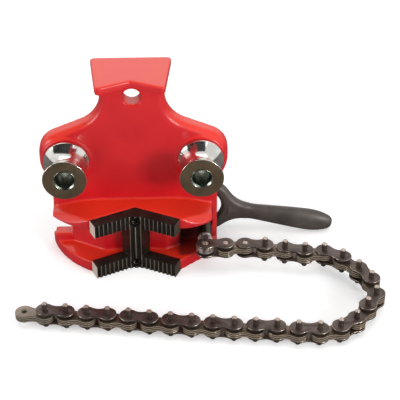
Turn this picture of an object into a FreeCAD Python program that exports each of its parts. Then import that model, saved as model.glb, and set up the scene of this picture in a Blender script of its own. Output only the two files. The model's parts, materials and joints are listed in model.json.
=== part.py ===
import FreeCAD, Part
import math
import os
from FreeCAD import Matrix, Placement, Rotation, Vector

# Chain pipe vise, standing on the end of its nose as it is photographed, in millimetres.
# X runs across the vise, -Y faces the pipe, +Z runs up the pipe's axis to the rest at the top.
# The bench face is the plane y = 0, and the end of the nose lies on the plane z = 0.

# Base plate
base_depth = 20.0
plate_web = 10.0
plate_wall = 8.0
ear_half = 103.2
neck_half = 35.0
rim_round = 8.0
recess_foot_rise = 15.0
# down each side: in at the neck, out round the ear, and in again above the nose
neck_arc = 35.0
shoulder_slope = 22.5
ear_top_arc = 26.0
ear_top_rise = 5.0
ear_side_drop = 2.5
waist_rise = 9.0

# Pipe rest, the V-edged shelf at the top, so far above the bending rolls' axes
rest_rise = 114.9
rest_thickness = 8.5
rest_reach = 68.3
rest_notch = 16.0
rest_back_half = 43.0
rest_front_half = 35.5
rest_root = 9.0
rest_corner = 4.0

# Bench bolt holes
bolt_hole = 19.6
bolt_hole_edge = 0.6
top_hole_drop = 37.9

# Bending rolls, each turning on a sleeve that a bench bolt goes through
roll_edge = 30.0
roll_height = 123.5
roll_length = 38.1
roll_rear_dia = 50.5
roll_front_dia = 47.4
roll_waist_dia = 36.0
roll_rear_edge = 3.0
roll_front_edge = 1.0
roll_waist_at = 17.5
roll_groove_share = 0.3
roll_end_gap = 1.0
sleeve_dia = 23.6
sleeve_fit = 0.06
sleeve_seat = 12.0
sleeve_stand = 0.5
sleeve_edge = 1.7
roll_boss_dia = 55.0
roll_boss_height = 2.0
boss_wall = 9.0

# Nose: two flanges either side of the chain slot, and the core that joins them
flange_thickness = 14.0
slot_height = 43.0
flange_overhang = 4.0
flange_cheek = 31.0
flange_corner_reach = 38.0
# the upper flange's top is flat in the middle and falls in an arc to both sides
flange_flat_half = 36.0
flange_fall = 10.0
cheek_left_front = 33.0
cheek_right_front = 47.0
cheek_right_edge = 7.0
cheek_bulge = 3.6
# a slope down each cheek, from so far back on the side edge to a lip above the lower face
cheek_slope_back = 14.0
cheek_lip = 2.0
core_front = 40.0
core_left_front = 20.0
core_bulge_half = 34.0
pocket_reach = 27.0
pocket_wall = 18.0
side_wall = 9.5
catch_width = 20.0
catch_height = 9.5
catch_front = 20.0
catch_back = 4.0

# Jaw: two toothed V arms and the toothed column between them, one piece
jaw_slope = 25.6
jaw_reach = 74.0
jaw_half = 43.2
jaw_thickness = 14.4
jaw_arm = 16.0
jaw_column_half = 15.5
jaw_column_face_half = 6.0
tooth_count = 8
tooth_depth = 2.2
column_tooth_count = 2
jaw_screw_dia = 8.0
jaw_screw_head_dia = 12.0
jaw_screw_head = 5.0
jaw_screw_length = 22.0
jaw_screw_socket_dia = 6.9
jaw_screw_socket = 3.5
jaw_screw_fit = 0.05
jaw_screw_head_gap = 0.1

# Chain screw, with a flat eye at the front end
screw_x = 77.0
screw_edge = 15.0
screw_dia = 16.0
screw_eye_y = -65.0
screw_tail_y = 50.0
screw_end_chamfer = 1.5
eye_dia = 20.4
eye_thickness = 5.4
eye_shoulder = 12.5
screw_hole_gap = 0.8

# Nut and thrust washer behind the nose, with the washer in a shallow spot face
spot_face_depth = 0.6
spot_face_gap = 1.0
washer_dia = 30.0
washer_thickness = 2.5
washer_gap = 0.05
nut_dia = 24.0
nut_length = 30.0
nut_thread_gap = 0.08
nut_collar_dia = 28.0
nut_collar = 4.0
trunnion_boss_dia = 15.0
trunnion_boss_half = 17.0
trunnion_dia = 8.0
trunnion_inner = 9.3
trunnion_fit = 0.05
trunnion_depth_gap = 0.3

# Handle: a fork round the nut, and a swelled grip
handle_droop = 9.6
handle_turn = 2.3
fork_inner = 21.0
fork_outer = 35.0
fork_thickness = 14.0
fork_arm_end = 8.0
fork_end_round = 5.5
fork_edge_round = 5.5
# where the web leaves the fork's round, and how it runs into the grip
web_start = 42.0
web_neck_half = 9.4
web_round = 34.0
handle_length = 153.0
grip_flatness_share = 0.68
# half heights along the grip, as shares of its length and of its widest half height
grip_half_height = 13.4
grip_shares = [
    (0.19, 1.00),
    (0.27, 0.84),
    (0.35, 0.75),
    (0.45, 0.78),
    (0.60, 0.90),
    (0.75, 1.00),
    (0.87, 0.97),
    (0.95, 0.74),
]

# Chain: links of two outer plates on two pins, joined by laminated inner links
chain_pitch = 22.2
plate_end_radius = 9.7
plate_waist_half = 7.0
outer_plate = 2.0
outer_gap = 10.2
lamination = 2.3
lamination_count = 3
pin_dia = 5.9
pin_above = 8.3
pin_below = 7.9
pin_flush = 0.5
pin_edge = 0.4
pin_press = 0.02
pin_running = 0.08
outer_link_count = 14
flush_pin_count = 3
# a link stands this much lower than the one before it, within the chain's side play
link_step = 1.6
eye_step = 2.2
# how far the chain turns at each pin where it lies on the floor, in degrees, from the eye onwards
lay_turns = [
    0, 10, -18, 5, -11, 21, -38, -14, -15, -24, -38, -7, -16, -26,
    -13, -6, 5, -1, -2, 0, 0, -1, -1, 2, 1, -1, 0, 0,
]

overrun = 1.0

# Places that follow from the sizes above
base_height = roll_height + rest_rise
ear_top_level = roll_height + ear_top_rise
ear_side_level = roll_height - ear_side_drop
roll_x = ear_half - roll_edge
slot_top = flange_thickness + slot_height
nose_lip = slot_top + flange_thickness
nose_half = screw_x + screw_edge
waist_level = nose_lip + waist_rise
recess_foot = nose_lip + recess_foot_rise
top_hole_level = base_height - top_hole_drop
recess_top = top_hole_level - bolt_hole / 2 - boss_wall
chain_level = flange_thickness + slot_height / 2
slope = math.radians(jaw_slope)
jaw_v_depth = jaw_half * math.tan(slope)
jaw_back_half = jaw_half + jaw_thickness * math.sin(slope)
jaw_back_reach = jaw_reach - jaw_thickness * math.cos(slope)
jaw_apex = jaw_back_reach - jaw_back_half * math.tan(slope)
pin_radius = pin_dia / 2
inner_pack = lamination * lamination_count
floor_level = pin_below + outer_plate + outer_gap / 2
nut_front = washer_thickness + 2 * washer_gap - spot_face_depth
trunnion_y = nut_front + nut_length / 2
left, right = -1, 1
sides = {"left": left, "right": right}

X = Vector(1, 0, 0)
Y = Vector(0, 1, 0)
Z = Vector(0, 0, 1)
nodes = {}


def plan(points, low, high):
    """A prism on an outline of x, y places, from height low to height high."""
    corners = [Vector(x, y, low) for x, y in points]
    return Part.Face(Part.makePolygon(corners + corners[:1])).extrude(Z * (high - low))


def front(points, back, ahead):
    """A prism on an outline of x, z places, from y = back forwards to y = ahead."""
    corners = [Vector(x, back, z) for x, z in points]
    return Part.Face(Part.makePolygon(corners + corners[:1])).extrude(Y * (ahead - back))


def side(points, half):
    """A prism on an outline of y, z places, centred across the vise."""
    corners = [Vector(-half, y, z) for y, z in points]
    return Part.Face(Part.makePolygon(corners + corners[:1])).extrude(X * (2 * half))


def rod(diameter, start, end):
    return Part.makeCylinder(diameter / 2, (end - start).Length, start, end - start)


def turned(profile, centre, axis):
    """A turned solid from (distance along the axis, radius) places that start and end at the axis."""
    across = axis.cross(Z if abs(axis.z) < abs(axis.x) + abs(axis.y) else X)
    corners = [centre + axis * along + across * radius for along, radius in profile]
    face = Part.Face(Part.makePolygon(corners + corners[:1]))
    return face.revolve(centre, axis, math.degrees(2 * math.pi))


def edges_where(shape, wanted):
    return [edge for edge in shape.Edges if wanted(edge)]


def upright(edge):
    box = edge.BoundBox
    return box.XLength + box.YLength < box.ZLength * overrun / base_height


def fillet(shape, radius, wanted):
    return shape.makeFillet(radius, edges_where(shape, wanted))


def side_arc(sign, x, z, radius, first, last):
    """An arc in the bench face about (x, z), mirrored on the left. Angles run from +X towards +Z."""
    places = []
    for angle in (first, (first + last) / 2, last):
        places.append(Vector(sign * (x + radius * math.cos(angle)), 0, z + radius * math.sin(angle)))
    return Part.Arc(*places).toShape(), places[0], places[2]


def plate_side(sign, inset):
    """One side of the base plate's outline, from the neck to the foot, moved inwards by inset."""
    tilt = math.radians(shoulder_slope)
    quarter = math.pi / 2
    ear_radius = ear_top_arc - inset
    ear_top, ear_start, ear_end = side_arc(
        sign, ear_half - ear_top_arc, ear_top_level, ear_radius, quarter - tilt, 0)
    neck_radius = neck_arc + inset
    neck_x = neck_half + neck_arc
    neck_end_x = neck_x - neck_radius * math.sin(tilt)
    neck_end_z = ear_start.z + (abs(ear_start.x) - neck_end_x) * math.tan(tilt)
    neck_z = neck_end_z + neck_radius * math.cos(tilt)
    neck, neck_start, neck_end = side_arc(
        sign, neck_x, neck_z, neck_radius, math.pi, math.pi + quarter - tilt)
    side_start = Vector(ear_end.x, 0, ear_side_level)
    waist_end = Vector(sign * (nose_half - inset), 0, waist_level)
    waist = Part.BSplineCurve()
    waist.interpolate([side_start, waist_end], InitialTangent=-Z, FinalTangent=-Z)
    return [
        Part.makeLine(Vector(neck_start.x, 0, base_height), neck_start),
        neck,
        Part.makeLine(neck_end, ear_start),
        ear_top,
        Part.makeLine(ear_end, side_start),
        waist.toShape(),
        Part.makeLine(waist_end, Vector(waist_end.x, 0, slot_top)),
    ]


def plate_face(inset):
    """The base plate's outline as a face in the bench plane."""
    edges = plate_side(right, inset) + plate_side(left, inset)
    for half, z in ((neck_half - inset, base_height), (nose_half - inset, slot_top)):
        edges.append(Part.makeLine(Vector(-half, 0, z), Vector(half, 0, z)))
    return Part.Face(Part.Wire(Part.__sortEdges__(edges)))


def base_plate():
    return fillet(plate_face(0).extrude(Y * -base_depth), rim_round, rim_edge)


def rim_edge(edge):
    """The front edges down both sides of the base plate."""
    box = edge.BoundBox
    return box.YMax < -base_depth + overrun and box.ZLength > overrun


def back_recess():
    """The hollow in the bench side, which leaves a web, an outer wall and bosses round the bolts."""
    hollow = plate_face(plate_wall).extrude(Y * -(base_depth - plate_web))
    height = recess_top - recess_foot
    band = Part.makeBox(2 * ear_half, base_depth, height, Vector(-ear_half, -base_depth, recess_foot))
    hollow = hollow.common(band)
    for sign in (left, right):
        at = Vector(sign * roll_x, 0, roll_height)
        hollow = hollow.cut(rod(sleeve_dia + 2 * boss_wall, at - Y * base_depth, at + Y * overrun))
    return hollow


def pipe_rest():
    """The shelf whose V edge carries the far part of the pipe."""
    low = base_height - rest_thickness
    outline = [
        (-rest_back_half, 0),
        (-rest_front_half, -rest_reach),
        (0, -rest_reach + rest_notch),
        (rest_front_half, -rest_reach),
        (rest_back_half, 0),
    ]
    shelf = fillet(plan(outline, low, base_height), rest_corner, upright_corner)
    root = side(
        [(0, low), (-base_depth - rest_root, low), (-base_depth, low - rest_root), (0, low - rest_root)],
        neck_half - rim_round / 2,
    )
    return shelf.fuse(root)


def upright_corner(edge):
    """Upright edges of the rest, apart from the bottom of its V."""
    return upright(edge) and abs(edge.CenterOfMass.x) > overrun


def jaw_back():
    """The V outline that the back of the jaw seats in, as x, y places from left to right."""
    return [(-jaw_back_half, -jaw_back_reach), (0, -jaw_apex), (jaw_back_half, -jaw_back_reach)]


def lower_flange():
    half = nose_half + flange_overhang
    seat = jaw_back()
    start = Vector(-half, 0, 0)
    middle = Vector(-half * math.cos(math.radians(flange_cheek)), -jaw_back_reach / 2, 0)
    tip = Vector(seat[0][0], seat[0][1], 0)
    curve = Part.Arc(start, middle, tip).toShape()
    corners = [tip]
    corners += [Vector(x, y, 0) for x, y in seat[1:]]
    corners += [Vector(screw_x, -flange_corner_reach, 0), Vector(nose_half, -base_depth, 0)]
    corners += [Vector(nose_half, 0, 0), start]
    edges = [curve] + [Part.makeLine(a, b) for a, b in zip(corners, corners[1:])]
    return Part.Face(Part.Wire(edges)).extrude(Z * flange_thickness)


def bulged(start, end, rise):
    """An arc from start to end that bulges by rise, to the left of the way from start to end."""
    way = end - start
    return Part.Arc(start, (start + end) / 2 + Z.cross(way).normalize() * rise, end).toShape()


def upper_flange():
    """The upper flange, with round cheeks beside the jaw and a top that falls to both sides."""
    seat = [Vector(x, y, slot_top) for x, y in jaw_back()]
    cheek_left = Vector(-nose_half, -cheek_left_front, slot_top)
    cheek_right = Vector(nose_half - cheek_right_edge, -cheek_right_front, slot_top)
    back_left, back_right = Vector(-nose_half, 0, slot_top), Vector(cheek_right.x, 0, slot_top)
    corners = [cheek_right, back_right, back_left, cheek_left]
    edges = [Part.makeLine(a, b) for a, b in zip(seat + corners, (seat + corners)[1:])]
    edges[2] = bulged(seat[2], cheek_right, -cheek_bulge)
    edges.append(bulged(cheek_left, seat[0], -cheek_bulge))
    block = Part.Face(Part.Wire(edges)).extrude(Z * flange_thickness).common(flange_arch())
    block = block.cut(cheek_slope(seat[0], cheek_left))
    return block.cut(cheek_slope(seat[2], cheek_right))


def cheek_slope(inner, outer):
    """What lies above the slope that falls from the flange's top to the lower edge of a cheek."""
    top_inner = inner + Z * flange_thickness
    top_outer = outer + Y * cheek_slope_back + Z * flange_thickness
    low_outer = outer + Z * cheek_lip
    along = top_outer - top_inner
    down = low_outer - top_outer
    down = down - along * (down.dot(along) / along.dot(along))
    rise = along.cross(down).normalize()
    if rise.z < 0:
        rise = -rise
    corners = [top_inner - along - down, top_outer + along - down]
    corners += [top_outer + along + down * 2, top_inner - along + down * 2]
    face = Part.Face(Part.makePolygon(corners + corners[:1]))
    return face.extrude(rise * nose_lip)


def flange_arch():
    """What lies under the upper flange's top, as seen from the front."""
    run = nose_half - flange_flat_half
    radius = (run ** 2 + flange_fall ** 2) / (2 * flange_fall)
    half_angle = math.asin(run / radius) / 2
    half_drop = radius * (1 - math.cos(half_angle))
    falls = []
    for sign in (left, right):
        start = Vector(sign * flange_flat_half, 0, nose_lip)
        middle = start + X * (sign * radius * math.sin(half_angle)) - Z * half_drop
        end = Vector(sign * nose_half, 0, nose_lip - flange_fall)
        falls.append((Part.Arc(start, middle, end).toShape(), start, end))
    (fall_left, start_left, end_left), (fall_right, start_right, end_right) = falls
    foot_left, foot_right = Vector(end_left.x, 0, slot_top), Vector(end_right.x, 0, slot_top)
    edges = [fall_left, Part.makeLine(start_left, start_right), fall_right]
    edges += [Part.makeLine(end_right, foot_right), Part.makeLine(foot_right, foot_left)]
    edges.append(Part.makeLine(foot_left, end_left))
    return Part.Face(Part.Wire(Part.__sortEdges__(edges))).extrude(Y * -jaw_reach)


def nose_core():
    """The block between the flanges, which leaves the chain's slot on its left and the screw's pocket."""
    middle = jaw_column_half
    core_left = nose_half - catch_width
    pocket_left = screw_x - pocket_reach
    outline = [
        (-core_left, 0),
        (-core_left, -core_left_front),
        (-core_bulge_half, -core_front),
        (-middle, -jaw_apex),
        (middle, -jaw_apex),
        (core_bulge_half, -core_front),
        (pocket_left, -core_front + plate_wall),
        (pocket_left, -pocket_wall),
        (nose_half - side_wall, -pocket_wall),
        (nose_half - side_wall, -base_depth),
        (nose_half, -base_depth),
        (nose_half, 0),
    ]
    return fillet(plan(outline, flange_thickness - overrun, slot_top + overrun), rim_round, side_rim_edge)


def side_rim_edge(edge):
    """The outer front edge of the wall beside the screw's pocket."""
    box = edge.BoundBox
    return upright(edge) and box.XMin > nose_half - overrun and box.YMax < overrun - base_depth


def catch_pads():
    """Two pads, one on each flange, that the ends of the chain's pins hook behind."""
    pads = []
    for low, high in (
        (flange_thickness - overrun, flange_thickness + catch_height),
        (slot_top - catch_height, slot_top + overrun),
    ):
        size = Vector(catch_width - overrun, catch_front - catch_back, high - low)
        pads.append(Part.makeBox(*size, Vector(-nose_half, -catch_front, low)))
    return pads


def base_casting():
    body = base_plate().cut(back_recess())
    pieces = [pipe_rest(), lower_flange(), upper_flange(), nose_core()] + catch_pads()
    for sign in (left, right):
        at = Vector(sign * roll_x, -base_depth, roll_height)
        boss = rod(roll_boss_dia, at + Y * plate_web, at - Y * roll_boss_height)
        pieces.append(boss.makeChamfer(roll_boss_height / 2, edges_where(boss, boss_rim)))
    body = body.fuse(pieces)
    for sign in (left, right):
        at = Vector(sign * roll_x, 0, roll_height)
        seat = sleeve_dia + 2 * pin_press
        face = -base_depth - roll_boss_height
        body = body.cut(rod(seat, at + Y * (face + sleeve_seat), at + Y * (face - overrun)))
        body = body.cut(rod(bolt_hole, at + Y * overrun, at + Y * (face - overrun)))
    hole = Vector(0, 0, top_hole_level)
    body = body.cut(rod(bolt_hole, hole + Y * overrun, hole - Y * (base_depth + overrun)))
    bore = screw_dia + 2 * screw_hole_gap
    at = Vector(screw_x, 0, chain_level)
    body = body.cut(rod(bore, at + Y * overrun, at - Y * (base_depth + overrun)))
    body = body.cut(rod(washer_dia + 2 * spot_face_gap, at + Y * overrun, at - Y * spot_face_depth))
    for level in jaw_screw_levels():
        start = Vector(0, jaw_face_y(), level)
        end = Vector(0, jaw_screw_tip() + overrun, level)
        body = body.cut(rod(jaw_screw_dia + 2 * jaw_screw_fit, start, end))
    body = body.removeSplitter()
    return body.makeChamfer(bolt_hole_edge, edges_where(body, top_hole_rim))


def boss_rim(edge):
    """The front edge of the raised boss behind a bending roll."""
    return edge.BoundBox.YMax < -base_depth - roll_boss_height / 2


def top_hole_rim(edge):
    """The front edge of the bolt hole in the neck."""
    middle = edge.CenterOfMass
    at_hole = abs(middle.x) < overrun and abs(middle.z - top_hole_level) < overrun
    return edge.Closed and at_hole and middle.y < -base_depth + overrun


def jaw_screw_levels():
    return [jaw_arm / 2, nose_lip - jaw_arm / 2]


def jaw_face_y():
    """The y of the bottom of the V, at the roots of the teeth."""
    return -(jaw_reach - jaw_v_depth)


def jaw_screw_tip():
    return jaw_face_y() + jaw_screw_length + jaw_screw_head


def toothed(start, end, count, depth):
    """Places along a row of teeth from start to end, with the roots sunk by depth."""
    along = (end - start) / count
    inward = Z.cross(end - start).normalize() * depth
    places = [start]
    for tooth in range(count):
        root = start + along * (tooth + 1 / 2)
        places += [root + inward, start + along * (tooth + 1)]
    return places


def jaw():
    tip_left = Vector(-jaw_half, -jaw_reach, 0)
    tip_right = Vector(jaw_half, -jaw_reach, 0)
    bottom = jaw_face_y()
    flat = jaw_column_face_half
    flat_y = bottom - flat * math.tan(slope)
    near, far = Vector(-flat, flat_y, 0), Vector(flat, flat_y, 0)
    front_line = toothed(tip_left, near, tooth_count, tooth_depth)
    front_line += toothed(near, far, column_tooth_count, tooth_depth)[1:]
    front_line += toothed(far, tip_right, tooth_count, tooth_depth)[1:]
    arm_outline = [(place.x, place.y) for place in front_line] + jaw_back()[::-1]
    column_line = toothed(near, far, column_tooth_count, tooth_depth)
    half = jaw_column_half
    column_outline = [(place.x, place.y) for place in column_line]
    column_outline += [(half, -jaw_apex - flat), (half, -jaw_apex)]
    column_outline += [(-half, -jaw_apex), (-half, -jaw_apex - flat)]
    lower = plan(arm_outline, 0, jaw_arm)
    upper = plan(arm_outline, nose_lip - jaw_arm, nose_lip)
    column = plan(column_outline, flange_thickness, slot_top)
    body = lower.fuse([upper, column]).removeSplitter()
    for level in jaw_screw_levels():
        outer = Vector(0, -jaw_reach, level)
        shoulder_at = Vector(0, bottom + jaw_screw_head, level)
        body = body.cut(rod(jaw_screw_dia + 2 * jaw_screw_fit, outer, Vector(0, 0, level)))
        body = body.cut(rod(jaw_screw_head_dia + 2 * jaw_screw_head_gap, outer, shoulder_at))
    return body


def jaw_screws():
    """Two socket-head screws, sunk at the bottom of each V."""
    screws = []
    for level in jaw_screw_levels():
        top = Vector(0, jaw_face_y(), level)
        seat = top + Y * jaw_screw_head
        shank = rod(jaw_screw_dia, seat, Vector(0, jaw_screw_tip(), level))
        socket = rod(jaw_screw_socket_dia, top - Y * overrun, top + Y * jaw_screw_socket)
        screws.append(rod(jaw_screw_head_dia, top, seat).fuse(shank).cut(socket))
    return screws


def roll_face():
    return -base_depth - roll_boss_height - roll_end_gap


def bending_roll(sign):
    """The grooved roll, turned as one piece, with its wide flange next to the casting."""
    waist, rear, ahead = (dia / 2 for dia in (roll_waist_dia, roll_rear_dia, roll_front_dia))
    bore = sleeve_dia / 2 + sleeve_fit
    origin = Vector(sign * roll_x, roll_face(), roll_height)

    def place(along, radius):
        return origin - Y * along + Z * radius

    groove = Part.BSplineCurve()
    groove_middle = (roll_rear_edge + roll_waist_at) / 2
    groove.interpolate([
        place(roll_rear_edge, rear),
        place(groove_middle, waist + (rear - waist) * roll_groove_share),
        place(roll_waist_at, waist),
        place(roll_length - roll_front_edge, ahead),
    ])
    rest = [
        place(roll_length - roll_front_edge, ahead),
        place(roll_length, ahead),
        place(roll_length, bore),
        place(0, bore),
        place(0, rear),
        place(roll_rear_edge, rear),
    ]
    edges = [groove.toShape()] + [Part.makeLine(a, b) for a, b in zip(rest, rest[1:])]
    return Part.Face(Part.Wire(edges)).revolve(origin, Y, math.degrees(2 * math.pi))


def roll_sleeve(sign):
    """The tube pressed into the casting that the roll turns on and the bench bolt goes through."""
    at = Vector(sign * roll_x, 0, roll_height)
    start = at + Y * (-base_depth - roll_boss_height + sleeve_seat)
    end = at + Y * (roll_face() - roll_length - sleeve_stand)
    tube = rod(sleeve_dia, start, end).cut(rod(bolt_hole, start, end))
    return tube.makeChamfer(sleeve_edge, edges_where(tube, sleeve_mouth))


def sleeve_mouth(edge):
    """The front edge of the sleeve's bore."""
    box = edge.BoundBox
    return box.YMax < roll_face() - roll_length and box.ZLength < (sleeve_dia + bolt_hole) / 2


def chain_screw():
    """The screw that draws the chain in, with its thread's full diameter and a flat eye."""
    pin = Vector(screw_x, screw_eye_y, chain_level)
    shoulder_at = pin + Y * eye_shoulder
    tail = Vector(screw_x, screw_tail_y, chain_level)
    shank = rod(screw_dia, shoulder_at, tail)
    shank = shank.makeChamfer(screw_end_chamfer, edges_where(shank, tail_edge))
    disc = Part.makeCylinder(eye_dia / 2, eye_thickness, pin - Z * (eye_thickness / 2))
    low = pin.z - eye_thickness / 2
    half = screw_dia / 2
    tongue = Part.makeBox(screw_dia, eye_shoulder + half, eye_thickness, Vector(pin.x - half, pin.y, low))
    hole = Part.makeCylinder(pin_radius + pin_running, screw_dia, pin - Z * half)
    return shank.fuse([disc, tongue]).cut(hole).removeSplitter()


def tail_edge(edge):
    return edge.BoundBox.YMin > 0


def thrust_washer():
    at = Vector(screw_x, washer_gap - spot_face_depth, chain_level)
    end = at + Y * washer_thickness
    return rod(washer_dia, at, end).cut(rod(screw_dia + 2 * screw_hole_gap, at, end))


def handle_axes():
    """The handle's own directions: out along the grip, and up along the trunnion pins."""
    droop = math.radians(handle_droop)
    along = Vector(math.cos(droop), 0, -math.sin(droop))
    return along, Vector(math.sin(droop), 0, math.cos(droop))


def screw_nut():
    """The nut that the handle turns. Its two side bosses take the trunnion pins."""
    centre = Vector(screw_x, trunnion_y, chain_level)
    up = handle_axes()[1]
    start = Vector(screw_x, nut_front, chain_level)
    body = rod(nut_dia, start, start + Y * nut_length)
    collar = rod(nut_collar_dia, start, start + Y * nut_collar)
    boss = rod(trunnion_boss_dia, centre - up * trunnion_boss_half, centre + up * trunnion_boss_half)
    nut = body.fuse([collar, boss])
    nut = nut.cut(rod(screw_dia + 2 * nut_thread_gap, start, start + Y * nut_length))
    inner = trunnion_inner - trunnion_depth_gap
    for way in (left, right):
        start = centre + up * (way * inner)
        end = centre + up * (way * (trunnion_boss_half + overrun))
        nut = nut.cut(rod(trunnion_dia + 2 * trunnion_fit, start, end))
    return nut.removeSplitter()


def trunnion_pins():
    centre = Vector(screw_x, trunnion_y, chain_level)
    up = handle_axes()[1]
    ends = [(way * trunnion_inner, way * (fork_outer - fork_edge_round / 2)) for way in (left, right)]
    return [rod(trunnion_dia, centre + up * a, centre + up * b) for a, b in ends]


def handle():
    """The forged handle, modelled along X about the nut's centre, then turned to where it hangs."""
    half = fork_thickness / 2
    ring = Part.makeCylinder(fork_outer, fork_thickness, Y * -half, Y)
    keep = Part.makeBox(fork_outer, fork_thickness, 2 * fork_outer, Vector(0, -half, -fork_outer))
    fork = ring.common(keep)
    for way in (left, right):
        middle = way * (fork_inner + fork_outer) / 2
        width = fork_outer - fork_inner
        corner = Vector(-fork_arm_end, -half, middle - width / 2)
        fork = fork.fuse(Part.makeBox(fork_arm_end, fork_thickness, width, corner))
    fork = fork.fuse(fork_web())
    fork = fork.cut(Part.makeCylinder(fork_inner, fork_thickness, Y * -half, Y)).removeSplitter()
    fork = fillet(fork, fork_end_round, arm_end_edge)
    fork = fillet(fork, fork_edge_round, fork_rim_edge)
    tops = []
    for along, high in grip_shares:
        tops.append(Vector(handle_length * along, 0, grip_half_height * high))
    end = Vector(handle_length, 0, 0)
    curve = Part.BSplineCurve()
    curve.interpolate(tops + [end], InitialTangent=X - Z, FinalTangent=-Z)
    start = Vector(tops[0].x, 0, 0)
    outline = [curve.toShape(), Part.makeLine(end, start), Part.makeLine(start, tops[0])]
    grip = Part.Face(Part.Wire(outline)).revolve(start, X, math.degrees(2 * math.pi))
    squash = Matrix()
    squash.A22 = grip_flatness_share
    grip = grip.transformGeometry(squash)
    grip = grip.cut(rod(2 * (fork_inner + fork_edge_round), Y * -fork_thickness, Y * fork_thickness))
    body = fork.fuse(grip)
    for way in (left, right):
        near, far = Z * (way * (fork_inner - overrun)), Z * (way * (fork_outer + overrun))
        body = body.cut(rod(trunnion_dia + 2 * pin_press, near, far))
    body.Placement = Placement(Vector(screw_x, trunnion_y, chain_level), Rotation(Y, handle_droop) * Rotation(Z, -handle_turn))
    return body


def fork_web():
    """The web that leaves the fork's round in straight tapers and runs into the grip."""
    start_angle = math.radians(web_start)
    way = Vector(math.sin(start_angle), 0, -math.cos(start_angle))
    leave = Vector(fork_outer * math.cos(start_angle), 0, fork_outer * math.sin(start_angle))
    meet = leave + way * ((leave.z - web_neck_half) / math.cos(start_angle))
    turn = math.pi / 2 - start_angle
    trim = web_round * math.tan(turn / 2)
    bend_start, bend_end = meet - way * trim, meet + X * trim
    centre = bend_end + Z * web_round
    bend_middle = centre - Vector(math.sin(turn / 2), 0, math.cos(turn / 2)) * web_round
    half = fork_thickness / 2
    upper, flip = [leave, bend_start, bend_middle, bend_end], Matrix()
    flip.A33 = -1
    lower = [flip * place for place in upper]
    edges = []
    for first, second, middle, last in (upper, lower):
        edges += [Part.makeLine(first, second), Part.Arc(second, middle, last).toShape()]
    edges.append(Part.makeLine(upper[0], lower[0]))
    edges.append(Part.makeLine(upper[3], lower[3]))
    face = Part.Face(Part.Wire(Part.__sortEdges__(edges)))
    face.translate(Y * -half)
    return face.extrude(Y * fork_thickness)


def arm_end_edge(edge):
    """The corners at the ends of the fork's arms, which run along the trunnion pins."""
    box = edge.BoundBox
    return box.XLength + box.YLength < fork_edge_round and box.XMax < fork_edge_round - fork_arm_end


def fork_rim_edge(edge):
    """The rims of the fork's two flat faces."""
    return abs(abs(edge.CenterOfMass.y) - fork_thickness / 2) < fork_edge_round / 2


def link_frames():
    """Each link's first pin, heading and level, from the eye to the tail."""
    frames, heading = [], 0
    at = Vector(screw_x, screw_eye_y, 0)
    level = chain_level - eye_step
    for place, turn in enumerate(lay_turns):
        heading += turn
        outer = place % 2 == 0
        lowest = floor_level if outer else floor_level - link_step
        if place:
            level = max(level - link_step, lowest)
        frames.append((at, heading, level, outer))
        angle = math.radians(heading)
        at = at + Vector(math.cos(angle), math.sin(angle), 0) * chain_pitch
    return frames


def link_blank(thickness, hole_radius):
    """A figure-eight plate lying flat, its first hole at the origin and its second one pitch along X."""
    middle = chain_pitch / 2
    reach = middle ** 2 + plate_waist_half ** 2 - plate_end_radius ** 2
    waist_arc = reach / (2 * (plate_end_radius - plate_waist_half))
    lift = plate_waist_half + waist_arc
    towards = Vector(middle, lift, 0).normalize() * plate_end_radius
    near_top, far_top = towards, Vector(chain_pitch - towards.x, towards.y, 0)
    near_low, far_low = Vector(near_top.x, -near_top.y, 0), Vector(far_top.x, -far_top.y, 0)
    arcs = [
        Part.Arc(near_top, Vector(middle, plate_waist_half, 0), far_top),
        Part.Arc(far_top, Vector(chain_pitch + plate_end_radius, 0, 0), far_low),
        Part.Arc(far_low, Vector(middle, -plate_waist_half, 0), near_low),
        Part.Arc(near_low, Vector(-plate_end_radius, 0, 0), near_top),
    ]
    blank = Part.Face(Part.Wire([arc.toShape() for arc in arcs])).extrude(Z * thickness)
    for x in (0, chain_pitch):
        blank = blank.cut(Part.makeCylinder(hole_radius, thickness, X * x))
    return blank


def link_pin(length):
    """A pin standing on the origin, with both edges broken."""
    profile = [
        (0, 0),
        (0, pin_radius - pin_edge),
        (pin_edge, pin_radius),
        (length - pin_edge, pin_radius),
        (length, pin_radius - pin_edge),
        (length, 0),
    ]
    return turned(profile, Vector(0, 0, 0), Z)


def placed(shape, at, heading, z):
    copy = shape.copy()
    copy.Placement = Placement(Vector(at.x, at.y, z), Rotation(Z, heading))
    return copy


def chain_nodes():
    outer_blank = link_blank(outer_plate, pin_radius + pin_press)
    inner_blank = link_blank(lamination, pin_radius + pin_running)
    half_gap = outer_gap / 2
    count = {True: 0, False: 0}
    for at, heading, level, outer in link_frames():
        count[outer] += 1
        number = f"{count[outer]:02d}"
        angle = math.radians(heading)
        ends = [at, at + Vector(math.cos(angle), math.sin(angle), 0) * chain_pitch]
        if not outer:
            low = level - inner_pack / 2
            levels = [low + lamination * layer for layer in range(lamination_count)]
            nodes["inner_link_" + number] = [placed(inner_blank, at, heading, z) for z in levels]
            continue
        lows = (level - half_gap - outer_plate, level + half_gap)
        nodes["outer_plates_" + number] = [placed(outer_blank, at, heading, low) for low in lows]
        pins = []
        for pin_number, end in enumerate(ends):
            flush = 2 * (count[True] - 1) + pin_number < flush_pin_count
            below = pin_flush if flush else pin_below
            above = pin_flush if flush else pin_above
            length = below + above + 2 * outer_plate + outer_gap
            pins.append(placed(link_pin(length), end, 0, lows[0] - below))
        nodes["link_pins_" + number] = pins


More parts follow.
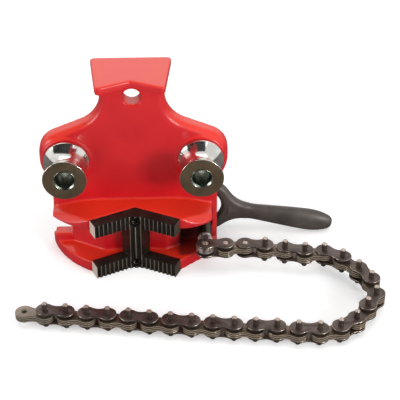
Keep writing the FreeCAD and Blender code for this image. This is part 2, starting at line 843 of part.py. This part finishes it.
nodes["base_casting"] = [base_casting()]
nodes["jaw"] = [jaw()]
nodes["jaw_screws"] = jaw_screws()
for name, sign in sides.items():
    nodes["bending_roll_" + name] = [bending_roll(sign)]
    nodes["roll_sleeve_" + name] = [roll_sleeve(sign)]
nodes["chain_screw"] = [chain_screw()]
nodes["thrust_washer"] = [thrust_washer()]
nodes["screw_nut"] = [screw_nut()]
nodes["handle"] = [handle()]
nodes["trunnion_pins"] = trunnion_pins()
chain_nodes()

os.makedirs("parts", exist_ok=True)
for name, solids in nodes.items():
    shape = solids[0] if len(solids) == 1 else Part.makeCompound(solids)
    shape.exportStep(os.path.join("parts", name + ".step"))
    print(f"{name}: {len(shape.Solids)} solids, valid {shape.isValid()}, {shape.Volume / 1000:.2f} cm3")
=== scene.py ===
import json
import math

import bpy
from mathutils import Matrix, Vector


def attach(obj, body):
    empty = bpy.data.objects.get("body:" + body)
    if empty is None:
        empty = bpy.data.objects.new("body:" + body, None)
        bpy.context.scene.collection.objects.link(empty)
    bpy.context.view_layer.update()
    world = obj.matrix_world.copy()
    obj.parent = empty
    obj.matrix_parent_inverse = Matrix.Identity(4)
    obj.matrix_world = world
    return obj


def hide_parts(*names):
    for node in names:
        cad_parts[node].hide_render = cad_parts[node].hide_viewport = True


# Chain pipe vise, standing on the end of its nose. Sizes are in millimetres times mm.
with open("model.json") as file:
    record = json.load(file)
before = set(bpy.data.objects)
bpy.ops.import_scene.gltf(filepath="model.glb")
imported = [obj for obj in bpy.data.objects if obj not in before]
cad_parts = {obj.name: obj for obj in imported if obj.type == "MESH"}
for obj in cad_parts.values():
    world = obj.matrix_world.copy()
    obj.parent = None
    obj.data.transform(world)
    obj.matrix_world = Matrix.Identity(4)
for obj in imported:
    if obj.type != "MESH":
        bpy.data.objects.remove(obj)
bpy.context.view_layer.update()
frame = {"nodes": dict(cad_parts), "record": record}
nodes = frame["nodes"]
record = frame["record"]
mm = 0.001
print("frame loaded:", len(nodes), "nodes")


def bodyOf(node):
    return next(body for body, members in record["behaviour"]["bodies"].items() if node in members)


def makeActive(piece):
    bpy.ops.object.select_all(action="DESELECT")
    piece.select_set(True)
    bpy.context.view_layer.objects.active = piece


def colour(red, green, blue):  # screen values from 0 to 255, as the linear colour a socket takes
    shares = [value / 255 for value in (red, green, blue)]
    return tuple(s / 12.92 if s <= 0.04045 else ((s + 0.055) / 1.055) ** 2.4 for s in shares) + (1,)


# Camera at the photograph's angle
camera = {
    "azimuth": -1.8,
    "elevation": 35,
    "target": (70.3 * mm, -87.3 * mm, 114.2 * mm),
    "distance": 1268.7 * mm,
    "lens": 108.5,
    "sensor": 36,
    "clip": (10 * mm, 20),
}


def placeCamera():
    turn, tilt = math.radians(camera["azimuth"]), math.radians(camera["elevation"])
    back = Vector((math.sin(turn) * math.cos(tilt), -math.cos(turn) * math.cos(tilt), math.sin(tilt)))
    bpy.ops.object.camera_add(location=Vector(camera["target"]) + back * camera["distance"])
    eye = bpy.context.object
    eye.name = "photoCamera"
    eye.rotation_euler = (-back).to_track_quat("-Z", "Y").to_euler()
    eye.data.lens, eye.data.sensor_width = camera["lens"], camera["sensor"]
    eye.data.clip_start, eye.data.clip_end = camera["clip"]
    bpy.context.scene.camera = eye


# Studio: soft boxes around and above, a white floor, and black boards that only reflections see
studio = {
    "floorHalf": 4.0,
    "floorColour": colour(238, 238, 238),
    "floorLift": 0.30,
    "floorMirrored": colour(120, 116, 112),
    "ambient": 0.45,
    "felt": colour(20, 20, 22),
    "boxes": [
        # name, place, size across, size up, watts
        ("boxRight", (1.0, -1.0, 0.50), 0.35, 0.45, 12),
        ("boxLeft", (-1.3, -0.60, 0.50), 0.4, 0.8, 8),
        ("boxBehind", (0.0, 1.25, 1.05), 1.7, 0.8, 4),
        ("boxTop", (0.1, -0.3, 1.60), 1.2, 1.2, 8),
    ],
    "aim": (0.03, -0.06, 0.10),
    "boards": [
        # name, place, size across, size up, tilt from lying flat in degrees
        ("boardAbove", (-0.62, -0.35, 1.15), 2.2, 1.5, 0),
        ("boardAhead", (0.0, -1.9, 0.9), 4.6, 1.9, 90),
    ],
}


def newTree(material):
    material.use_nodes = True
    tree = material.node_tree
    tree.nodes.clear()
    return tree


def lightPathSum(tree, names):
    path = tree.nodes.new("ShaderNodeLightPath")
    total = path.outputs[names[0]]
    for name in names[1:]:
        add = tree.nodes.new("ShaderNodeMath")
        add.operation = "ADD"
        add.use_clamp = True
        tree.links.new(total, add.inputs[0])
        tree.links.new(path.outputs[name], add.inputs[1])
        total = add.outputs[0]
    return total


def makeFloor():
    bpy.ops.mesh.primitive_plane_add(size=2 * studio["floorHalf"])
    floor = bpy.context.object
    floor.name = "studioFloor"
    paper = bpy.data.materials.new("whitePaper")
    tree = newTree(paper)
    output = tree.nodes.new("ShaderNodeOutputMaterial")
    diffuse = tree.nodes.new("ShaderNodeBsdfDiffuse")
    shade = tree.nodes.new("ShaderNodeMix")
    shade.data_type = "RGBA"
    shade.inputs[6].default_value = studio["floorColour"]
    shade.inputs[7].default_value = studio["floorMirrored"]
    tree.links.new(lightPathSum(tree, ["Is Glossy Ray"]), shade.inputs[0])
    tree.links.new(shade.outputs[2], diffuse.inputs["Color"])
    glow = tree.nodes.new("ShaderNodeEmission")
    lift = tree.nodes.new("ShaderNodeMath")
    lift.operation = "MULTIPLY"
    lift.inputs[1].default_value = studio["floorLift"]
    add = tree.nodes.new("ShaderNodeAddShader")
    tree.links.new(lightPathSum(tree, ["Is Camera Ray"]), lift.inputs[0])
    tree.links.new(lift.outputs[0], glow.inputs["Strength"])
    tree.links.new(diffuse.outputs[0], add.inputs[0])
    tree.links.new(glow.outputs[0], add.inputs[1])
    tree.links.new(add.outputs[0], output.inputs["Surface"])
    floor.data.materials.append(paper)


def makeWorld():
    world = bpy.data.worlds.new("whiteRoom")
    bpy.context.scene.world = world
    tree = newTree(world)
    output = tree.nodes.new("ShaderNodeOutputWorld")
    background = tree.nodes.new("ShaderNodeBackground")
    background.inputs["Color"].default_value = (1, 1, 1, 1)
    scale = tree.nodes.new("ShaderNodeMapRange")
    scale.inputs["To Min"].default_value = studio["ambient"]
    scale.inputs["To Max"].default_value = 1
    seen = lightPathSum(tree, ["Is Camera Ray", "Is Glossy Ray", "Is Transmission Ray"])
    tree.links.new(seen, scale.inputs["Value"])
    tree.links.new(scale.outputs[0], background.inputs["Strength"])
    tree.links.new(background.outputs[0], output.inputs["Surface"])


def makeLights():
    for name, place, across, up, watts in studio["boxes"]:
        bpy.ops.object.light_add(type="AREA", location=place)
        box = bpy.context.object
        box.name = name
        box.data.shape, box.data.size, box.data.size_y, box.data.energy = "RECTANGLE", across, up, watts
        box.rotation_euler = (Vector(studio["aim"]) - Vector(place)).to_track_quat("-Z", "Y").to_euler()


def makeBoards():
    felt = bpy.data.materials.new("blackFelt")
    tree = newTree(felt)
    output = tree.nodes.new("ShaderNodeOutputMaterial")
    diffuse = tree.nodes.new("ShaderNodeBsdfDiffuse")
    diffuse.inputs["Color"].default_value = studio["felt"]
    tree.links.new(diffuse.outputs[0], output.inputs["Surface"])
    for name, place, across, up, tilt in studio["boards"]:
        bpy.ops.mesh.primitive_plane_add(size=1, location=place, rotation=(math.radians(tilt), 0, 0))
        board = bpy.context.object
        board.name = name
        board.scale = (across, up, 1)
        board.data.materials.append(felt)
        board.visible_camera = board.visible_diffuse = board.visible_shadow = False


placeCamera()
makeFloor()
makeWorld()
makeLights()
makeBoards()
bpy.context.scene.view_settings.view_transform = "Standard"
print("studio set up")


# Materials. A shared group gives each finish its fine grain and its slow unevenness.
def grainGroup():
    group = bpy.data.node_groups.new("surfaceGrain", "ShaderNodeTree")
    for name, start in (("Fine Scale", 900), ("Slow Scale", 40), ("Detail", 4)):
        socket = group.interface.new_socket(name, in_out="INPUT", socket_type="NodeSocketFloat")
        socket.default_value = start
    group.interface.new_socket("Fine", in_out="OUTPUT", socket_type="NodeSocketFloat")
    group.interface.new_socket("Slow", in_out="OUTPUT", socket_type="NodeSocketFloat")
    into, out = group.nodes.new("NodeGroupInput"), group.nodes.new("NodeGroupOutput")
    place = group.nodes.new("ShaderNodeTexCoord")
    for scaleName, outName in (("Fine Scale", "Fine"), ("Slow Scale", "Slow")):
        noise = group.nodes.new("ShaderNodeTexNoise")
        group.links.new(place.outputs["Object"], noise.inputs["Vector"])
        group.links.new(into.outputs[scaleName], noise.inputs["Scale"])
        group.links.new(into.outputs["Detail"], noise.inputs["Detail"])
        group.links.new(noise.outputs["Fac"], out.inputs[outName])
    return group


surfaceGrain = grainGroup()


class Finish:
    # a material being put together: its Principled shader, its grain, and small ways to join nodes
    def __init__(self, name, fineScale, slowScale):
        self.material = bpy.data.materials.new(name)
        self.tree = newTree(self.material)
        self.shader = self.add("ShaderNodeBsdfPrincipled")
        output = self.add("ShaderNodeOutputMaterial")
        self.join(self.shader.outputs[0], output.inputs["Surface"])
        self.grain = self.add("ShaderNodeGroup")
        self.grain.node_tree = surfaceGrain
        self.grain.inputs["Fine Scale"].default_value = fineScale
        self.grain.inputs["Slow Scale"].default_value = slowScale
        self.fine, self.slow = self.grain.outputs["Fine"], self.grain.outputs["Slow"]
        self.bumpOut = None

    def add(self, kind):
        return self.tree.nodes.new(kind)

    def join(self, start, end):
        self.tree.links.new(start, end)

    def setPlain(self, **values):
        for name, value in values.items():
            self.shader.inputs[name.replace("_", " ")].default_value = value

    def math(self, operation, first, second=None, clamp=False):
        node = self.add("ShaderNodeMath")
        node.operation, node.use_clamp = operation, clamp
        for slot, value in ((0, first), (1, second)):
            if hasattr(value, "is_linked"):
                self.join(value, node.inputs[slot])
            elif value is not None:
                node.inputs[slot].default_value = value
        return node.outputs[0]

    # value from low..high to toLow..toHigh, held at both ends
    def spread(self, value, low, high, toLow=0, toHigh=1):
        node = self.add("ShaderNodeMapRange")
        self.join(value, node.inputs["Value"])
        for name, number in (("From Min", low), ("From Max", high), ("To Min", toLow), ("To Max", toHigh)):
            node.inputs[name].default_value = number
        return node.outputs[0]

    def mix(self, share, first, second):
        node = self.add("ShaderNodeMix")
        node.data_type = "RGBA"
        self.join(share, node.inputs[0])
        for slot, value in ((6, first), (7, second)):
            if hasattr(value, "is_linked"):
                self.join(value, node.inputs[slot])
            else:
                node.inputs[slot].default_value = value
        return node.outputs[2]

    def paint(self, value):
        self.join(value, self.shader.inputs["Base Color"])

    def rough(self, value):
        self.join(value, self.shader.inputs["Roughness"])

    def bump(self, height, distance, strength=1.0):
        node = self.add("ShaderNodeBump")
        node.inputs["Strength"].default_value = strength
        node.inputs["Distance"].default_value = distance
        self.join(height, node.inputs["Height"])
        if self.bumpOut:
            self.join(self.bumpOut, node.inputs["Normal"])
        self.bumpOut = node.outputs[0]
        self.join(self.bumpOut, self.shader.inputs["Normal"])

    def place(self):
        coords = self.add("ShaderNodeTexCoord")
        apart = self.add("ShaderNodeSeparateXYZ")
        self.join(coords.outputs["Object"], apart.inputs[0])
        return apart.outputs[0], apart.outputs[1], apart.outputs[2]


enamel = {
    # the third colour is painted top light, a lighter orange red for faces turned up
    "face": colour(205, 26, 32), "deep": colour(190, 18, 27), "top": colour(226, 48, 28),
    # the first colour here is painted shade, near black, for the screw's pocket
    "paintedPocketShade": colour(24, 17, 15), "fineBump": 0.16 * mm, "slowBump": 0.9 * mm, "pocketFade": 0.12,
    # the screw's pocket, where shade is painted, low and high in x, y and z
    "pocket": ((45 * mm, 88 * mm), (-53 * mm, -14 * mm), (10 * mm, 60 * mm)),
}


def redEnamel():
    f = Finish("redEnamel", 1100, 22)
    face = f.mix(f.spread(f.slow, 0.35, 0.65), enamel["face"], enamel["deep"])
    normal = f.add("ShaderNodeSeparateXYZ")
    f.join(f.add("ShaderNodeNewGeometry").outputs["Normal"], normal.inputs[0])
    # painted top light: faces turned up are mixed towards the lighter orange red
    withPaintedTopLight = f.mix(f.spread(normal.outputs[2], 0.25, 0.85), face, enamel["top"])
    # painted shade: inside the pocket box the red fades to near black
    inside = None
    for value, (low, high) in zip(f.place(), enamel["pocket"]):
        soft = (high - low) * enamel["pocketFade"]
        rise, fall = f.spread(value, low, low + soft), f.spread(value, high - soft, high, 1, 0)
        within = f.math("MULTIPLY", rise, fall)
        inside = within if inside is None else f.math("MULTIPLY", inside, within)
    f.paint(f.mix(inside, withPaintedTopLight, enamel["paintedPocketShade"]))
    f.rough(f.spread(f.fine, 0.3, 0.7, 0.30, 0.42))
    f.setPlain(Coat_Weight=0.25, Coat_Roughness=0.12, Specular_IOR_Level=0.4)
    f.bump(f.fine, enamel["fineBump"], 0.5)
    f.bump(f.slow, enamel["slowBump"], 0.35)
    return f.material


bumps = {
    "oxide": 0.05 * mm, "worn": 0.03 * mm, "turned": 0.02 * mm, "screw": 0.25 * mm,
    "forgedFine": 0.10 * mm, "forgedSlow": 0.5 * mm,
}


def darkOxide(name, dark, brown):
    f = Finish(name, 1600, 70)
    f.paint(f.mix(f.spread(f.slow, 0.4, 0.7), dark, brown))
    f.rough(f.spread(f.fine, 0.3, 0.7, 0.36, 0.52))
    f.setPlain(Metallic=0.75)
    f.bump(f.fine, bumps["oxide"], 0.6)
    return f.material


def wornSteel(name, bright, dull, low=0.22, high=0.42):
    f = Finish(name, 2200, 160)
    f.paint(f.mix(f.spread(f.slow, 0.38, 0.62), bright, dull))
    f.rough(f.spread(f.fine, 0.3, 0.7, low, high))
    f.setPlain(Metallic=1.0)
    f.bump(f.fine, bumps["worn"], 0.5)
    return f.material


rolls = {
    "frontFace": -61.1 * mm, "faceBand": 0.05 * mm, "ringPitch": 0.55 * mm,
    "centres": 73.2 * mm, "height": 123.5 * mm,
    "bright": colour(226, 224, 218), "brightWorn": colour(205, 203, 198),
    "facing": colour(100, 84, 63), "facingWorn": colour(84, 70, 52),
}


def turnedSteel():
    f = Finish("turnedSteel", 1500, 60)
    x, y, z = f.place()
    onFront = f.spread(y, rolls["frontFace"] + rolls["faceBand"], rolls["frontFace"], 0, 1)
    across = f.math("SUBTRACT", f.math("ABSOLUTE", x), rolls["centres"])
    up = f.math("SUBTRACT", z, rolls["height"])
    radius = f.math("SQRT", f.math("ADD", f.math("MULTIPLY", across, across), f.math("MULTIPLY", up, up)))
    rings = f.math("SINE", f.math("MULTIPLY", radius, 2 * math.pi / rolls["ringPitch"]))
    steel = f.mix(f.spread(f.slow, 0.4, 0.6), rolls["bright"], rolls["brightWorn"])
    facing = f.mix(f.spread(f.slow, 0.35, 0.65), rolls["facing"], rolls["facingWorn"])
    f.paint(f.mix(onFront, steel, facing))
    f.rough(f.spread(onFront, 0, 1, 0.14, 0.38))
    f.join(f.spread(onFront, 0, 1, 0.98, 0.45), f.shader.inputs["Metallic"])
    f.bump(f.math("MULTIPLY", rings, onFront), bumps["turned"], 0.5)
    return f.material


jawSizes = {
    "slope": 25.6, "bottom": 53.3 * mm, "columnHalf": 6.0 * mm, "tipBand": 0.45 * mm,
    "endReach": 70.93 * mm, "endFrom": 0.3 * mm, "endTo": 0.1 * mm, "sideFade": 1 * mm,
    "dark": colour(52, 46, 42), "darkWorn": colour(68, 60, 52), "tips": colour(176, 168, 156),
    # painted light and shade on the jaw's end faces: pale at the left as lit, dark at the right as shaded
    "paintedLitLeftEnd": colour(220, 208, 196), "paintedShadedRightEnd": colour(74, 64, 54),
}


def jawSteel():
    f = Finish("jawSteel", 1500, 90)
    x, y, z = f.place()
    side = f.math("ABSOLUTE", x)
    slope = math.radians(jawSizes["slope"])
    outward = f.math("MAXIMUM", side, jawSizes["columnHalf"])
    plane = f.math("ADD", f.math("MULTIPLY", outward, math.tan(slope)), jawSizes["bottom"])
    depth = f.math("MULTIPLY", f.math("ADD", y, plane), math.cos(slope))
    tips = f.spread(depth, jawSizes["tipBand"], jawSizes["tipBand"] / 3, 0, 1)
    sideways, forwards = f.math("MULTIPLY", side, math.cos(slope)), f.math("MULTIPLY", y, math.sin(slope))
    reach = f.math("SUBTRACT", sideways, forwards)
    endReach = jawSizes["endReach"]
    ends = f.spread(reach, endReach - jawSizes["endFrom"], endReach - jawSizes["endTo"], 0, 1)
    dark = f.mix(f.spread(f.slow, 0.4, 0.7), jawSizes["dark"], jawSizes["darkWorn"])
    worn = f.math("MULTIPLY", tips, f.spread(f.slow, 0.3, 0.6, 0.75, 1))
    # painted light and shade: end faces at the left are painted pale, at the right dark
    toRight = f.spread(x, -jawSizes["sideFade"], jawSizes["sideFade"])
    paintedEndLightAndShade = f.mix(toRight, jawSizes["paintedLitLeftEnd"], jawSizes["paintedShadedRightEnd"])
    f.paint(f.mix(ends, f.mix(worn, dark, jawSizes["tips"]), paintedEndLightAndShade))
    f.rough(f.spread(f.fine, 0.3, 0.7, 0.34, 0.5))
    f.join(f.spread(ends, 0, 1, 0.8, 0.3), f.shader.inputs["Metallic"])
    f.bump(f.fine, bumps["oxide"], 0.6)
    return f.material


forged = {"grey": colour(74, 67, 63), "pale": colour(90, 83, 78)}


def forgedGrey():
    f = Finish("forgedGrey", 1300, 45)
    f.paint(f.mix(f.spread(f.slow, 0.35, 0.65), forged["grey"], forged["pale"]))
    f.rough(f.spread(f.fine, 0.3, 0.7, 0.40, 0.55))
    f.setPlain(Metallic=0.35)
    f.bump(f.fine, bumps["forgedFine"], 0.7)
    f.bump(f.slow, bumps["forgedSlow"], 0.3)
    return f.material


pins = {"side": colour(70, 58, 52), "sideWorn": colour(92, 78, 70), "top": colour(178, 160, 148)}


def pinSteel():
    f = Finish("pinOxide", 1600, 70)
    normal = f.add("ShaderNodeSeparateXYZ")
    f.join(f.add("ShaderNodeNewGeometry").outputs["Normal"], normal.inputs[0])
    side = f.mix(f.spread(f.slow, 0.4, 0.7), pins["side"], pins["sideWorn"])
    # painted highlight: faces turned up are painted pale
    f.paint(f.mix(f.spread(normal.outputs[2], 0.8, 0.95), side, pins["top"]))
    f.rough(f.spread(f.fine, 0.3, 0.7, 0.34, 0.5))
    f.setPlain(Metallic=0.6)
    f.bump(f.fine, bumps["oxide"], 0.6)
    return f.material


laminated = {
    "layers": 3, "seam": colour(22, 18, 16),
    # shares of one lamination's thickness, and of the stack at its top and bottom
    "gap": 0.20, "rim": 0.34, "inside": 0.04,
}


def laminatedSteel(name, dark, brown, paintedSideHighlight):
    f = Finish(name, 1600, 70)
    stack = f.add("ShaderNodeAttribute")
    stack.attribute_name = "stack"
    height = stack.outputs["Fac"]
    layer = f.math("FRACT", f.math("MULTIPLY", height, laminated["layers"]))
    fromSeam = f.math("MINIMUM", layer, f.math("SUBTRACT", 1, layer))
    above = f.spread(height, 0, laminated["inside"])
    below = f.spread(height, 1 - laminated["inside"], 1, 1, 0)
    side = f.math("MULTIPLY", above, below)
    seam = f.math("MULTIPLY", f.spread(fromSeam, laminated["gap"], laminated["gap"] / 2), side)
    # painted highlight: the middle of each lamination's side wall, between the seams, is painted pale
    rim = f.math("MULTIPLY", f.spread(fromSeam, laminated["gap"], laminated["rim"]), side)
    steel = f.mix(f.spread(f.slow, 0.4, 0.7), dark, brown)
    f.paint(f.mix(seam, f.mix(rim, steel, paintedSideHighlight), laminated["seam"]))
    f.rough(f.spread(f.fine, 0.3, 0.7, 0.34, 0.5))
    f.setPlain(Metallic=0.8)
    f.bump(f.fine, bumps["oxide"], 0.6)
    return f.material


screwEnd = {
    # painted light and shade: the eye end is pale, the shank in the pocket dark
    "shoulder": -51 * mm, "lightToShadeOver": 3 * mm,
    "shank": colour(74, 68, 58), "shankDark": colour(52, 47, 40),
    "eye": colour(232, 218, 212), "eyeDark": colour(120, 104, 98),
}


def screwSteel():
    f = Finish("screwSteel", 1800, 210)
    y = f.place()[1]
    shank = f.mix(f.spread(f.slow, 0.4, 0.6), screwEnd["shank"], screwEnd["shankDark"])
    eye = f.mix(f.spread(f.slow, 0.4, 0.6), screwEnd["eye"], screwEnd["eyeDark"])
    # the eye end in front of the shoulder is painted pale, partly its rubbed bare steel and partly painted
    # light; the shank behind it is painted dark for the shade in the pocket
    f.paint(f.mix(f.spread(y, screwEnd["shoulder"], screwEnd["shoulder"] + screwEnd["lightToShadeOver"]), eye, shank))
    f.rough(f.spread(f.fine, 0.3, 0.7, 0.24, 0.42))
    f.setPlain(Metallic=0.8)
    f.bump(f.slow, bumps["screw"], 0.5)
    return f.material


finishes = {
    "enamel": redEnamel(),
    "jaw": jawSteel(),
    "jawEdge": wornSteel("jawEdge", colour(150, 141, 130), colour(104, 94, 84)),
    "screwBlack": darkOxide("screwBlack", colour(36, 32, 30), colour(48, 42, 38)),
    "turned": turnedSteel(),
    "rim": wornSteel("rimSteel", colour(235, 232, 226), colour(205, 200, 192), 0.12, 0.22),
    "tube": wornSteel("tubeSteel", colour(140, 150, 138), colour(112, 122, 108), 0.2, 0.34),
    "screw": screwSteel(),
    "plain": wornSteel("plainSteel", colour(150, 148, 144), colour(120, 116, 110)),
    "forged": forgedGrey(),
    "plate": darkOxide("plateOxide", colour(78, 67, 63), colour(100, 86, 79)),
    "plateEdge": wornSteel("plateEdge", colour(206, 194, 180), colour(124, 112, 100)),
    "pin": pinSteel(),
    "pinEdge": wornSteel("pinEdge", colour(196, 184, 172), colour(140, 126, 114)),
    "inner": laminatedSteel("innerOxide", colour(96, 82, 70), colour(118, 102, 88), colour(214, 196, 174)),
    "innerEdge": wornSteel("innerEdge", colour(186, 168, 148), colour(124, 108, 94)),
    "tail": laminatedSteel("tailOxide", colour(124, 112, 100), colour(146, 134, 120), colour(200, 188, 172)),
}
print("finishes made:", len(finishes))


# Pieces. Each starts as a merged copy of its node, and gets the broken edges and cast shapes of the real one.
meshLimits = {"merge": 0.002 * mm, "flatWithin": 0.5}


def copyOf(node, name, layers=1):
    piece = bpy.data.objects.new(name, nodes[node].data.copy())
    bpy.context.scene.collection.objects.link(piece)
    piece.data.materials.clear()
    makeActive(piece)
    for layer in range(layers):
        selectLayer(piece.data, layer, layers)
        bpy.ops.object.mode_set(mode="EDIT")
        bpy.ops.mesh.remove_doubles(threshold=meshLimits["merge"])
        bpy.ops.object.mode_set(mode="OBJECT")
    return piece


# the faces of one lamination, which touches the next ones without joining them
def selectLayer(mesh, layer, layers):
    heights = [vertex.co.z for vertex in mesh.vertices]
    low, step = min(heights), (max(heights) - min(heights)) / layers
    for vertex in mesh.vertices:
        vertex.select = layers == 1
    if layers > 1:
        for face in mesh.polygons:
            inside = face.center.z - face.normal.z * step / 2
            if int((inside - low) / step) == layer:
                for index in face.vertices:
                    mesh.vertices[index].select = True


def flatten(piece):
    makeActive(piece)
    bpy.ops.object.mode_set(mode="EDIT")
    bpy.ops.mesh.select_all(action="SELECT")
    bpy.ops.mesh.dissolve_limited(angle_limit=math.radians(meshLimits["flatWithin"]))
    bpy.ops.object.mode_set(mode="OBJECT")


def modify(piece, kind, **settings):
    makeActive(piece)
    modifier = piece.modifiers.new(kind.lower(), kind)
    for name, value in settings.items():
        setattr(modifier, name, value)
    bpy.ops.object.modifier_apply(modifier=modifier.name)


def bevelEdges(piece, width, segments, degrees, edgeSlot):
    modify(piece, "BEVEL", width=width, segments=segments, limit_method="ANGLE",
           angle_limit=math.radians(degrees), material=edgeSlot, loop_slide=False)


def dress(piece, *names):
    for name in names:
        piece.data.materials.append(finishes[name])


def settle(piece, node, smoothDegrees=35):
    makeActive(piece)
    bpy.ops.object.shade_smooth_by_angle(angle=math.radians(smoothDegrees))
    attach(piece, bodyOf(node))
    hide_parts(node)


def edged(node, name, finish, edgeFinish, width, segments=2, degrees=30, layers=1):
    piece = copyOf(node, name, layers)
    if layers == 1:  # dissolved laminations would join where they touch
        flatten(piece)
    dress(piece, finish, edgeFinish)
    bevelEdges(piece, width, segments, degrees, 1)
    if layers > 1:
        markStack(piece)
    settle(piece, node)


def markStack(piece):  # each point's height in the stack, from 0 to 1, for the laminated finish
    heights = [vertex.co.z for vertex in piece.data.vertices]
    low, high = min(heights), max(heights)
    stack = piece.data.attributes.new("stack", "FLOAT", "POINT")
    stack.data.foreach_set("value", [(height - low) / (high - low) for height in heights])


casting = {"voxel": 1.25 * mm, "softening": 6, "keep": 0.6}


def makeCasting():
    piece = copyOf("base_casting", "castBase")
    modify(piece, "REMESH", mode="VOXEL", voxel_size=casting["voxel"], use_smooth_shade=True)
    modify(piece, "SMOOTH", factor=0.5, iterations=casting["softening"])
    modify(piece, "DECIMATE", ratio=casting["keep"])
    dress(piece, "enamel")
    settle(piece, "base_casting", 60)
    print("casting:", len(piece.data.polygons), "faces")


grip = {"voxel": 0.9 * mm, "softening": 14, "keep": 0.6}


def makeHandle():
    piece = copyOf("handle", "forgedHandle")
    modify(piece, "REMESH", mode="VOXEL", voxel_size=grip["voxel"], use_smooth_shade=True)
    modify(piece, "SMOOTH", factor=0.5, iterations=grip["softening"])
    modify(piece, "DECIMATE", ratio=grip["keep"])
    dress(piece, "forged")
    settle(piece, "handle", 60)
    print("handle:", len(piece.data.polygons), "faces")


chain = {
    "links": 14, "laminations": laminated["layers"],
    "plateBevel": 0.4 * mm, "pinBevel": 0.3 * mm, "innerBevel": 0.32 * mm,
}


def makeChain():
    for number in range(1, chain["links"] + 1):
        tag = f"{number:02d}"
        edged("outer_plates_" + tag, "outerPlates" + tag, "plate", "plateEdge", chain["plateBevel"])
        edged("link_pins_" + tag, "linkPins" + tag, "pin", "pinEdge", chain["pinBevel"], 1, 20)
        last = number == chain["links"]
        steel = "tail" if last else "inner"
        edged("inner_link_" + tag, "innerLink" + tag, steel, "innerEdge", chain["innerBevel"],
              layers=chain["laminations"])
    print("chain made:", chain["links"], "outer and inner links")


brokenEdges = {
    "jaw": 0.35 * mm, "jawScrews": 0.3 * mm, "rolls": 0.4 * mm, "sleeves": 0.5 * mm,
    "screw": 0.4 * mm, "washer": 0.3 * mm, "nut": 0.6 * mm, "trunnions": 0.5 * mm,
}


def makeFittings():
    edged("jaw", "toothedJaw", "jaw", "jawEdge", brokenEdges["jaw"], 1, 40)
    edged("jaw_screws", "jawScrews", "screwBlack", "jawEdge", brokenEdges["jawScrews"])
    for side in ("left", "right"):
        end = side.title()
        edged("bending_roll_" + side, "bendingRoll" + end, "turned", "rim", brokenEdges["rolls"], 2, 40)
        edged("roll_sleeve_" + side, "rollSleeve" + end, "tube", "rim", brokenEdges["sleeves"])
    edged("chain_screw", "chainScrew", "screw", "screw", brokenEdges["screw"])
    edged("thrust_washer", "thrustWasher", "plain", "plain", brokenEdges["washer"])
    edged("screw_nut", "screwNut", "forged", "plain", brokenEdges["nut"])
    edged("trunnion_pins", "trunnionPins", "plain", "plain", brokenEdges["trunnions"])
    print("fittings made")


makeCasting()
makeHandle()
makeFittings()
makeChain()
